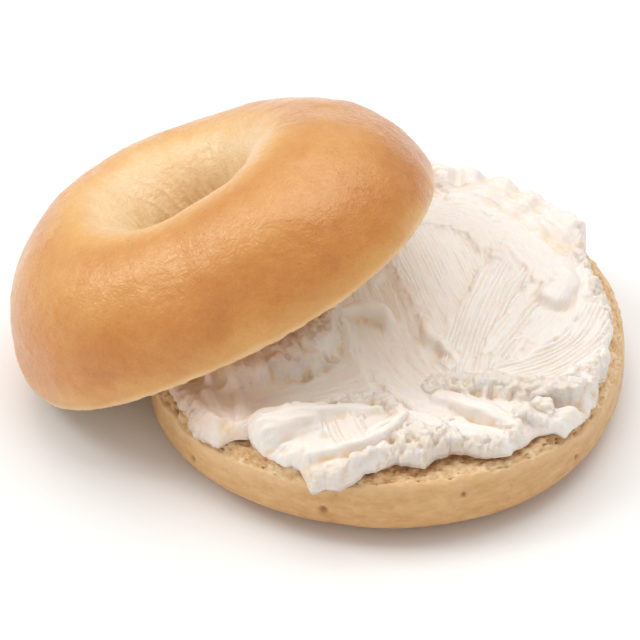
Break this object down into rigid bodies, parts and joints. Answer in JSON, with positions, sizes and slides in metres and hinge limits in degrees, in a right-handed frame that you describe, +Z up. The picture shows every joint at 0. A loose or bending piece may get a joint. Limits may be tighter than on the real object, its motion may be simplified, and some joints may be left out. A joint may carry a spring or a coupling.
{
  "type": "bagel",
  "caption": "Bagel cut across, its lower half spread thick with soft cheese and its plump upper half leaning on the spread and the lower half's rim.",
  "frame": {"origin": "centre of the bounding box's bottom, on the surface that the bagel lies on", "axes": "+Z up; +X from the leaning upper half towards the open end of the spread; +Y away from the picture's camera"},
  "size_m": [0.141, 0.1134, 0.0672],
  "materials": {
    "lower_bread": "pale baked crust, matt",
    "cream_cheese": "soft cheese, satin",
    "upper_bread": "golden baked crust with a soft shine"
  },
  "bodies": {
    "root": {"lower_half": "lower_bread", "cream_cheese": "cream_cheese", "upper_half": "upper_bread"}
  },
  "joints": []
}
